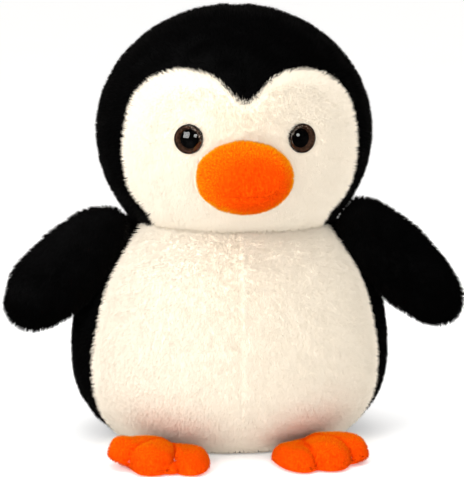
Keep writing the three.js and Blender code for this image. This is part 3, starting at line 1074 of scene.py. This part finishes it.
@dataclass
class Torso:
    """The torso: an egg with a flat base, in a belly panel, two back panels and a base panel.

    Its half width at a height is a superellipse about its widest height, its depth is a fixed share
    of its width, and its top edge is where it meets the underside of the head.
    """

    girth_height: float = 0.0475
    below: float = 0.058
    below_power: float = 2.3
    above: float = 0.092
    above_power: float = 2.2
    pile_depth: float = 1.5 * MM
    white_depth: float = 1.6 * MM
    cloth: float = 1.2 * MM
    seam_depth: float = 1.0 * MM
    seam_width: float = 3.0 * MM
    base_height: float = 1.8 * MM
    belly: Array = field(default_factory=lambda: MM * np.array([
        [60, -6], [64, 4], [72, 16], [76.8, 31], [78, 50], [75.2, 69], [71, 86], [65.5, 99],
        [57.8, 112], [48, 128], [46, 150],
    ]))

    def __post_init__(self) -> None:
        """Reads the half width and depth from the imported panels."""
        low, high = union_box("belly_panel", "left_back_panel", "right_back_panel", "base_panel")
        self.half_width = (high[0] - low[0]) / 2
        self.depth_share = (high[1] - low[1]) / (high[0] - low[0])

    def radius(self, z: Array) -> Array:
        """The half width at a height."""
        low = np.clip((self.girth_height - z) / self.below, 0, 1)
        high = np.clip((z - self.girth_height) / self.above, 0, 1)
        lower = (1 - low**self.below_power) ** (1 / self.below_power)
        upper = (1 - high**self.above_power) ** (1 / self.above_power)
        return self.half_width * np.where(z < self.girth_height, lower, upper)

    def place(self, turn: Array, z: Array, depth: float | Array = 0.0) -> Array:
        """Surface points at an angle from the front, towards +X, and a height, sunk by a depth.

        The chest is fuller than the egg by a few hundredths, where it bears on the chin.
        """
        r = self.radius(z) - depth
        full = 1 + 0.06 * smoothstep(65 * MM, 112 * MM, z) * (np.cos(turn) > 0)
        return np.stack(
            [r * np.sin(turn), -self.depth_share * full * r * np.cos(turn), z + 0 * turn], axis=-1
        )

    def normal(self, turn: Array, z: Array) -> Array:
        """Outward unit normals at an angle and a height."""
        step = 0.2 * MM
        slope = (self.radius(z + step) - self.radius(z - step)) / (2 * step)
        k = self.depth_share
        n = np.stack([k * np.sin(turn), -np.cos(turn), -k * slope + 0 * turn], axis=-1)
        return unit(n)

    def rim(self, turn: Array, head: Head, gap: float = 0.0) -> Array:
        """The height at each angle where the torso meets the head, by halving an interval."""
        low, high = np.full_like(turn, 0.095), np.full_like(turn, 0.136)
        for _ in range(24):
            z = (low + high) / 2
            offset = (self.place(turn, z) - head.centre) / np.array([head.half[0], head.half[1], head.jaw])
            inside = (offset**2).sum(axis=-1) < 1 + gap
            low, high = np.where(inside, low, z), np.where(inside, z, high)
        return z

    def border_turn(self, z: Array) -> Array:
        """The angle from the front of the belly panel's border at a height."""
        curve = spline(self.belly, 8)
        half = np.interp(z, curve[:, 1], curve[:, 0])
        return np.arcsin(np.clip(half / self.radius(z), 0, 0.985))

    def wall(self, share: Array, rows: int, head: Head, front: bool, side: int) -> Sheet:
        """A panel of the wall, from the base up to the neck.

        Args:
            share: Places across the panel: from -1 to 1 over the belly, or from 0 at its border to 1
                at the back.
            rows: Rows of points from the base to the neck.
            head: The head, which sets the top edge.
            front: True for the belly panel.
            side: The sign of X, for a back panel.

        Returns:
            The panel.
        """
        neck = self.border_turn(np.array(0.118))
        top_turn = share * neck if front else side * (neck + share * (np.pi - neck))
        top = self.rim(top_turn, head)
        t = np.linspace(0, 1, rows)[:, None]
        z = self.base_height + t * (top - self.base_height)
        border = self.border_turn(z)
        turn = share * border if front else side * (border + share * (np.pi - border))
        surface = self.place(turn, z)
        to_border = np.linalg.norm(surface - self.place(np.sign(turn) * border, z), axis=-1)
        to_neck = top - z
        to_middle = np.abs(surface[..., 0]) if not front else np.full_like(z + turn, 1.0)
        dip = np.maximum.reduce([
            np.exp(-((to_border / self.seam_width) ** 2)),
            1.3 * np.exp(-((to_neck / self.seam_width) ** 2)),
            0.6 * np.exp(-((to_middle / self.seam_width) ** 2)),
        ])
        depth = (self.white_depth if front else self.pile_depth) + self.seam_depth * dip
        return Sheet(self.place(turn, z, depth), self.normal(turn, z))

    def belly_nap(self, roots: Array, normals: Array, place: Array) -> Array:
        """Belly strands lean down and out, and straight across the border at the edge."""
        outward = np.sign(roots[:, :1]) * np.array([[1.0, 0.0, 0.0]])
        edge = smoothstep(0.9, 1.0, np.abs(place[:, 1:] * 2 - 1))
        bottom = 1 - smoothstep(0.0, 0.08, place[:, :1])
        down = np.array([0.0, 0.0, -1.0])
        soft = 0.6 + 0.1 * lumps(roots, 10 * MM, 4)[:, None]
        middle = soft * (down * 0.8 + outward * 0.3)
        return middle * (1 - edge) + edge * (outward * 1.2 + down * 0.35) + bottom * down * 0.4

    def back_nap(self, roots: Array, normals: Array, place: Array) -> Array:
        """Back strands lean down, in soft waves."""
        sway = np.stack([lumps(roots, 14 * MM, 15 + k) for k in range(3)], axis=-1)
        return np.array([0.0, 0.1, -1.0]) * 0.9 + 0.45 * sway

    def build(self, head: Head) -> None:
        """Makes the panels, their pile, the filling and the bag of pellets."""
        belly = self.wall(np.linspace(-1, 1, 120)[None], 80, head, True, 1)
        panel = belly.shell("belly_panel_cloth", self.cloth)
        dress(panel, WHITE.ground(), "torso", WHITE.slot, "belly_panel")
        coat_patch("belly", belly, self.belly_nap, WHITE_COAT, WHITE, "torso", 10)
        for side in Side:
            back = self.wall(np.linspace(0, 1, 76)[None], 70, head, False, side.value)
            panel = back.shell(f"{side.word}_back_cloth", self.cloth)
            dress(panel, BLACK.ground(), "torso", BLACK.slot, f"{side.word}_back_panel")
            coat_patch(
                f"{side.word}_back", back, self.back_nap, Coat(per_mm2=2.1), BLACK, "torso", 12 + side.value
            )
        self.base()
        self.filling(head)
        self.pellets()

    def base(self) -> None:
        """The base panel: a flat disc of short black cloth with a rounded edge."""
        t = np.linspace(0, 1, 14)
        r = self.radius(np.array(self.base_height)) - 2 * self.pile_depth
        profile = np.stack([
            np.concatenate([r * np.sin(t * np.pi / 2) * 0.999, [r, r * 0.6, 0.0]]),
            np.concatenate([0.0 * t, [1.0 * MM, 2.0 * MM, 2.0 * MM]]),
        ], axis=-1)
        grid = revolve(profile, 96)
        grid[..., 1] *= self.depth_share
        disc = closed_surface("base_panel_cloth", grid)
        dress(disc, BLACK.ground(), "torso", BLACK.slot, "base_panel")

    def filling(self, head: Head) -> None:
        """The fibre inside the torso, dished at the top where the head sits."""
        t = np.linspace(0, 1, 34)[:, None]
        turn = np.linspace(0, 2 * np.pi, 80, endpoint=False)[None]
        low = 22 * MM
        z = low + t * (self.rim(turn, head) - 10 * MM - low)
        side = self.place(turn, z, 8 * MM + 1.5 * MM * lumps(self.place(turn, z), 18 * MM, 31))
        floor = side[:1] * [0, 0, 1]
        dish = side[-1:] * [0, 0, 1] - [0, 0, 14 * MM]
        ball = closed_surface("torso_filling", np.concatenate([floor, side, dish]))
        dress(ball, filling_material(), "torso", "filling", "torso_fill")

    def pellets(self) -> None:
        """The bag of pellets: a flat round cloth bag, slumped on the base panel."""
        low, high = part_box("pellet_bag")
        radius, tall = (high[0] - low[0]) / 2, high[2] - low[2]
        rise = np.linspace(-np.pi / 2, np.pi / 2, 26)
        profile = np.stack([
            radius * np.abs(np.cos(rise)) ** 0.6,
            low[2] + tall / 2 * (1 + power(np.sin(rise), 0.8)),
        ], axis=-1)
        grid = revolve(profile, 64)
        grid[..., :2] *= 1 - 0.02 - 0.02 * lumps(grid, 20 * MM, 33)[..., None]
        grid[..., 1] += (low[1] + high[1]) / 2
        bag = closed_surface("pellet_bag_cloth", grid)
        dress(bag, pellet_cloth_material(), "torso", "pellet_cloth", "pellet_bag")


# The wings and the feet


def pressed_out(points: Array, torso: Torso, head: Head, room: float) -> Array:
    """Points that would lie inside the torso or the head, moved out to their surfaces.

    Args:
        points: Places, with the coordinates last.
        torso: The torso, which pushes points straight away from its upright axis.
        head: The head, which pushes points straight away from its centre.
        room: How far outside the surface they end.

    Returns:
        The moved points.
    """
    level = np.hypot(points[..., 0], points[..., 1] / torso.depth_share)
    share = np.maximum((torso.radius(points[..., 2]) + room) / np.maximum(level, 1e-6), 1.0)
    moved = points * np.stack([share, share, np.ones_like(share)], axis=-1)
    half = np.array([head.half[0], head.half[1], head.jaw]) + room
    offset = (moved - head.centre) / half
    size = np.linalg.norm(offset, axis=-1, keepdims=True)
    return np.where(size < 1, head.centre + offset / np.maximum(size, 1e-6) * half, moved)


@dataclass
class Wing:
    """A wing: a flattened egg in a front and a back panel, hung from the shoulder.

    Its outline is a superellipse with one length towards the tip and another towards the root, and
    a superellipse also gives its thickness from the middle to the rim.
    """

    side: Side
    waist: float
    to_tip: float
    to_root: float
    half_width: float
    power: float
    half_thickness: float = 11 * MM
    droop: float = np.radians(45.0)
    pile_depth: float = 1.4 * MM
    cloth: float = 1.2 * MM

    def __post_init__(self) -> None:
        """Reads the shoulder's place and sets the wing's axes."""
        self.body = f"{self.side.word}_wing"
        self.pivot = np.array(joint(f"{self.side.word}_wing_flap")["pos_m"])
        sign = self.side.value
        self.along = np.array([sign * np.cos(self.droop), 0.0, -np.sin(self.droop)])
        self.across = np.array([sign * np.sin(self.droop), 0.0, np.cos(self.droop)])

    def place(self, turn: Array, t: Array, face: int, depth: float | Array = 0.0) -> Array:
        """Surface points at a turn in the wing's plane and a share of the way from middle to rim.

        Args:
            turn: Angle about the waist, from the tip's direction.
            t: 0 in the middle of the panel, 1 at the rim.
            face: -1 for the front panel, 1 for the back panel.
            depth: How far the points are sunk.

        Returns:
            The points.
        """
        flat = np.sin(t * np.pi / 2) ** (2 / 2.2)
        thick = np.cos(t * np.pi / 2) ** (2 / 2.2)
        c, s = np.cos(turn), np.sin(turn)
        length = np.where(c > 0, self.to_tip, self.to_root) - depth
        a = self.waist + length * power(c, 2 / self.power) * flat
        b = (self.half_width - depth) * power(s, 2 / self.power) * flat
        out = face * (self.half_thickness - depth) * thick + 0 * turn
        outward = out[..., None] * [0, 1, 0]
        return self.pivot + a[..., None] * self.along + b[..., None] * self.across + outward

    def sheet(self, face: int, torso: Torso, head: Head) -> Sheet:
        """One panel, with a dip along the rim seam and soft hollows."""
        turn = np.linspace(0, 2 * np.pi, 130, endpoint=False)[None]
        t = np.linspace(0, 1, 34)[:, None]
        surface = self.place(turn, t, face)
        centre = self.pivot + self.waist * self.along
        to_rim = np.linalg.norm(surface - surface[-1:], axis=-1)
        depth = self.pile_depth + 1.0 * MM * np.exp(-((to_rim / (2.5 * MM)) ** 2))
        depth = depth + 0.7 * MM * lumps(surface, 24 * MM, 51 + face)
        points = self.place(turn, t, face, depth)
        normals = grid_normals(points, points - centre, wrap=True)
        return Sheet(pressed_out(points, torso, head, 2.5 * MM), normals, wrap=True)

    def nap(self, roots: Array, normals: Array, place: Array) -> Array:
        """Strands lean towards the tip and down, in soft waves."""
        sway = np.stack([lumps(roots, 13 * MM, 55 + k) for k in range(3)], axis=-1)
        return 0.8 * self.along + np.array([0.0, 0.0, -0.3]) + 0.45 * sway

    def build(self, torso: Torso, head: Head) -> None:
        """Makes the two panels, their pile and the filling."""
        for word, face in (("front", -1), ("back", 1)):
            sheet = self.sheet(face, torso, head)
            panel = sheet.shell(f"{self.body}_{word}_cloth", self.cloth)
            dress(panel, BLACK.ground(), self.body, BLACK.slot, f"{self.body}_{word}_panel")
            coat_patch(f"{self.body}_{word}", sheet, self.nap, Coat(), BLACK, self.body, 50 + face)
        turn = np.linspace(0, 2 * np.pi, 60, endpoint=False)[None]
        t = np.linspace(0, 1, 16)[:, None]
        front, back = (self.place(turn, t, face, 5.5 * MM) for face in (-1, 1))
        grid = np.concatenate([front, back[-2::-1]])
        grid = grid + 0.6 * MM * lumps(grid, 9 * MM, 57)[..., None] * unit(grid - grid.mean(axis=(0, 1)))
        pad = closed_surface(f"{self.body}_filling", pressed_out(grid, torso, head, 6 * MM))
        dress(pad, filling_material(), self.body, "filling", f"{self.body}_fill")


@dataclass
class Foot:
    """A foot: puffy lobes run together, in an upper panel over a flat sole.

    Each lobe is an ellipse on the floor with a rounded height over it. The foot's outline is the
    furthest reach of the lobes from its heel point, and its top is their soft greatest height,
    held under the belly. The outer toe curls up off the floor.
    """

    side: Side
    curl: float
    inner_turn: float
    inner_across: float
    shift: float
    seam: float = 3.2 * MM
    fullness: float = 2.67
    pile_depth: float = 0.9 * MM
    cloth: float = 1.0 * MM
    heel: tuple = (41 * MM, -70 * MM)

    def __post_init__(self) -> None:
        """Lists the lobes, the last two between toes: place, turn, half length, half width, height."""
        self.lobes = np.array([
            [41 * MM, -71 * MM, 0.0, 22 * MM, 11 * MM, 11.5 * MM],
            [self.inner_across, -80 * MM, np.radians(self.inner_turn), 18.5 * MM, 9.8 * MM, 11.2 * MM],
            [44.8 * MM, -79 * MM, np.radians(-80), 18.3 * MM, 12.2 * MM, 14.4 * MM],
            [50.5 * MM, -70 * MM, np.radians(-24), 18.5 * MM, 12.5 * MM, 14.8 * MM],
            [34.6 * MM, -83 * MM, np.radians(-85), 11.5 * MM, 5.5 * MM, 7.5 * MM],
            [57.0 * MM, -76 * MM, np.radians(-50), 9.0 * MM, 5.5 * MM, 7.5 * MM],
        ])

    def level(self, x: Array, y: Array) -> Array:
        """For each lobe, the elliptical radius of floor places: 0 in its middle, 1 on its outline."""
        cx, cy, turn, along, across = (self.lobes[:, k].reshape(-1, *([1] * x.ndim)) for k in range(5))
        u = (x - cx) * np.cos(turn) + (y - cy) * np.sin(turn)
        v = (y - cy) * np.cos(turn) - (x - cx) * np.sin(turn)
        return np.hypot(u / along, v / across)

    def reach(self, turn: Array, torso: Torso) -> Array:
        """The foot's outline from the heel point, held short of the torso's foot print.

        Each lobe's far crossing of the ray is the larger root of a quadratic, and a power mean of
        them rounds the notches between toes.
        """
        cx, cy, lean, along, across = (self.lobes[:, k, None] for k in range(5))
        px, py = self.heel[0] - cx, self.heel[1] - cy
        u = (px * np.cos(lean) + py * np.sin(lean)) / along
        v = (py * np.cos(lean) - px * np.sin(lean)) / across
        du, dv = np.cos(turn - lean) / along, np.sin(turn - lean) / across
        a, b = du**2 + dv**2, u * du + v * dv
        root = b**2 - a * (u**2 + v**2 - 1)
        far = np.where(root > 0, (-b + np.sqrt(np.maximum(root, 0))) / a, 0)
        outline = ((np.maximum(far, 0) / MM) ** 10).sum(axis=0) ** 0.1 * MM
        limit = torso.radius(np.array(7 * MM))
        hx, hy = self.heel[0], self.heel[1] / torso.depth_share
        dx, dy = np.cos(turn), np.sin(turn) / torso.depth_share
        a, b, c = dx**2 + dy**2, hx * dx + hy * dy, hx**2 + hy**2 - limit**2
        root = b**2 - a * c
        near = np.where((root > 0) & (b < 0), (-b - np.sqrt(np.maximum(root, 0))) / a, 1.0)
        return np.minimum(outline, near)

    def place(self, torso: Torso, upper: bool, inset: float) -> Array:
        """A panel's grid of points, from its middle to its rim, set in by an inset."""
        turn = np.linspace(-np.pi, np.pi, 180, endpoint=False)[None]
        t = np.linspace(0, 1, 49 if upper else 15)[:, None]
        share = np.sin(t * np.pi / 2) ** (0.8 if upper else 0.5)
        far = self.reach(turn[0], torso)[None] - inset
        x = self.heel[0] + share * far * np.cos(turn)
        y = self.heel[1] + share * far * np.sin(turn)
        edge = (1 - share**16) ** 0.4
        raised = self.curl * smoothstep(52 * MM, 66 * MM, x)
        if upper:
            cap = (1 - np.minimum(self.level(x, y), 1) ** self.fullness) ** (1 / self.fullness)
            rise = (self.lobes[:, 5, None, None] - self.seam) / MM * cap
            top = self.seam + ((rise**16).sum(axis=0) ** (1 / 16)) * MM - inset + raised
            z = self.seam + (np.maximum(top, self.seam) - self.seam) * edge
            z = np.minimum(z + raised * (1 - edge), np.maximum(self.belly_over(torso, x, y), self.seam))
        else:
            z = self.seam - (self.seam - 0.2 * MM - inset) * edge + raised
        return np.stack([self.side.value * x + self.shift, y, z + 0 * x], axis=-1)

    def belly_over(self, torso: Torso, x: Array, y: Array) -> Array:
        """The height of the torso's underside over floor places, less a little room."""
        out = np.hypot(x + self.side.value * self.shift, y / torso.depth_share) / torso.half_width
        drop = (1 - np.minimum(out, 1) ** torso.below_power) ** (1 / torso.below_power)
        return torso.girth_height - torso.below * drop - 1.0 * MM

    def sheet(self, torso: Torso, upper: bool) -> Sheet:
        """One panel with its normals."""
        points = self.place(torso, upper, self.pile_depth)
        if upper:
            points[..., 2] += 0.25 * MM * lumps(points, 12 * MM, 61) * (points[..., 2] > self.seam + 1 * MM)
        else:
            under_seam = points[..., 2] < self.seam - 1 * MM
            points[..., 2] = np.maximum(points[..., 2] - 0.8 * MM * under_seam, 0.05 * MM)
        middle = points[0, 0] * [1, 1, 0] + [0, 0, self.seam]
        return Sheet(points, grid_normals(points, points - middle, wrap=True), wrap=True)

    def lift(self, roots: Array) -> Array:
        """Painted light on the pile: redder in the creases between lobes as painted shade, lighter on their
        crowns as a painted highlight, and a little redder all over.
        """
        x = (roots[:, 0] - self.shift) * self.side.value
        cap = np.sort(1.2 - np.minimum(self.level(x, roots[:, 1])[1:4], 1.2), axis=0)
        # Painted shade where two lobes meet.
        crease_shade = np.exp(-(((cap[-1] - cap[-2]) / 0.11) ** 2)) * (cap[-2] > 0.02)
        # Painted highlight, lighter higher up on the lobes.
        crown = smoothstep(6 * MM, 13 * MM, roots[:, 2])
        return 0.25 * crown - 0.75 * crease_shade - 0.2

    def nap(self, roots: Array, normals: Array, place: Array) -> Array:
        """Short pile is brushed towards the toes' ends."""
        sway = np.stack([lumps(roots, 8 * MM, 65 + k) for k in range(3)], axis=-1)
        return np.array([0.0, -0.5, -0.2]) + 0.2 * sway

    def build(self, torso: Torso) -> None:
        """Makes the upper panel, the sole, their pile and the filling."""
        body = f"{self.side.word}_foot"
        for word, upper in (("upper", True), ("sole", False)):
            sheet = self.sheet(torso, upper)
            panel = sheet.shell(f"{body}_{word}_cloth", self.cloth if upper else 0.5 * MM)
            dress(panel, ORANGE.ground(), body, ORANGE.slot, f"{body}_{word}")
            label = body if upper else f"{body}_edge"
            hidden = None if upper else under_edge
            coat_patch(label, sheet, self.nap, SHORT_COAT, ORANGE, body, 60 + upper, hidden, self.lift)
        top, bottom = (self.place(torso, upper, 2.6 * MM) for upper in (True, False))
        grid = np.concatenate([top[::3, ::4], bottom[-2::-2, ::4]])
        pad = closed_surface(f"{body}_filling", grid)
        dress(pad, filling_material(), body, "filling", f"{body}_fill")


def under_edge(roots: Array) -> Array:
    """True for places of a sole that are flat on the floor, where its pile is worn away."""
    return roots[:, 2] < 1.8 * MM


# The scene


@dataclass(frozen=True)
class Softbox:
    """A square studio light that faces the toy."""

    name: str
    azimuth: float
    elevation: float
    distance: float
    size: float
    watts: float
    reflected: bool = True

    def hang(self) -> None:
        """Creates the light at its angles, azimuth 0 in front of the toy."""
        a, e = np.radians(self.azimuth), np.radians(self.elevation)
        aim = Vector((0, 0, 0.13))
        away = Vector((np.sin(a) * np.cos(e), -np.cos(a) * np.cos(e), np.sin(e)))
        light = bpy.data.lights.new(self.name, "AREA")
        light.size = self.size
        light.energy = self.watts
        lamp = bpy.data.objects.new(self.name, light)
        lamp.visible_glossy = self.reflected
        lamp.location = aim + away * self.distance
        lamp.rotation_mode = "QUATERNION"
        lamp.rotation_quaternion = (-away).to_track_quat("-Z", "Y")
        bpy.context.scene.collection.objects.link(lamp)


def studio() -> None:
    """The floor, the lights and the pale surroundings, which reflections see dimmed."""
    bpy.ops.mesh.primitive_plane_add(size=60.0, location=(0, 0, 0))
    floor = bpy.context.object
    floor.name = "studio_floor"
    material, tree, shader = new_material("studio_floor")
    tree.links.new(
        ramp(tree, noise(tree, 3.0), [(0.3, (0.93, 0.93, 0.93)), (0.7, (0.95, 0.95, 0.95))]),
        shader.inputs["Base Color"],
    )
    shader.inputs["Roughness"].default_value = 0.9
    shader.inputs["Emission Color"].default_value = (1.0, 1.0, 1.0, 1.0)
    shader.inputs["Emission Strength"].default_value = 0.2
    floor.data.materials.append(material)
    floor.visible_glossy = False
    world = bpy.data.worlds.new("studio")
    bpy.context.scene.world = world
    world.use_nodes = True
    tree = world.node_tree
    background = tree.nodes["Background"]
    background.inputs["Color"].default_value = (1.0, 0.99, 0.975, 1.0)
    path = node(tree, "ShaderNodeLightPath")
    dim = node(tree, "ShaderNodeMapRange")
    dim.inputs["To Min"].default_value = 0.95
    dim.inputs["To Max"].default_value = 0.015
    tree.links.new(path.outputs["Is Glossy Ray"], dim.inputs["Value"])
    tree.links.new(dim.outputs["Result"], background.inputs["Strength"])
    Softbox("key", -39.0, 20.0, 1.1, 0.55, 7.4).hang()
    Softbox("fill", 9.0, 17.0, 1.2, 0.3, 2.2).hang()
    Softbox("crown", 0.0, 78.0, 1.1, 0.9, 5.0, reflected=False).hang()
    Softbox("low_fill", 45.0, 3.0, 1.0, 0.6, 1.2, reflected=False).hang()


@dataclass(frozen=True)
class Camera:
    """The camera: its angle, how far it stands, and the size of the view where it looks."""

    azimuth: float = -5.5
    elevation: float = 8.0
    distance: float = 1.0
    target: tuple = (0.0, -0.008, 0.110)
    view_height: float = 0.55 * MM * 477
    sensor: float = 36.0
    slide: float = 1 / 477

    def make(self) -> None:
        """Creates the camera and makes it the scene's own."""
        a, e = np.radians(self.azimuth), np.radians(self.elevation)
        back = Vector((np.sin(a) * np.cos(e), -np.cos(a) * np.cos(e), np.sin(e)))
        data = bpy.data.cameras.new("camera")
        data.sensor_width = self.sensor
        data.lens = self.sensor * self.distance / self.view_height
        data.shift_x = self.slide
        camera = bpy.data.objects.new("camera", data)
        camera.location = Vector(self.target) + back * self.distance
        camera.rotation_mode = "QUATERNION"
        camera.rotation_quaternion = (-back).to_track_quat("-Z", "Y")
        bpy.context.scene.collection.objects.link(camera)
        bpy.context.scene.camera = camera


def main() -> None:
    """Builds the toy, sub-assembly by sub-assembly, then the studio and the camera."""
    bpy.context.scene.view_settings.view_transform = "Standard"
    Camera().make()
    head = Head()
    head.build()
    torso = Torso()
    torso.build(head)
    Wing(Side.LEFT, 24.8 * MM, 49.7 * MM, 41.0 * MM, 20.3 * MM, 2.4).build(torso, head)
    Wing(Side.RIGHT, 36.6 * MM, 35.0 * MM, 49.9 * MM, 21.6 * MM, 2.0).build(torso, head)
    Foot(Side.LEFT, 1.2 * MM, -78.0, 28.0 * MM, -2.0 * MM).build(torso)
    Foot(Side.RIGHT, 4.0 * MM, -90.0, 25.3 * MM, -2.4 * MM).build(torso)
    studio()


if __name__ == "__main__":
    main()
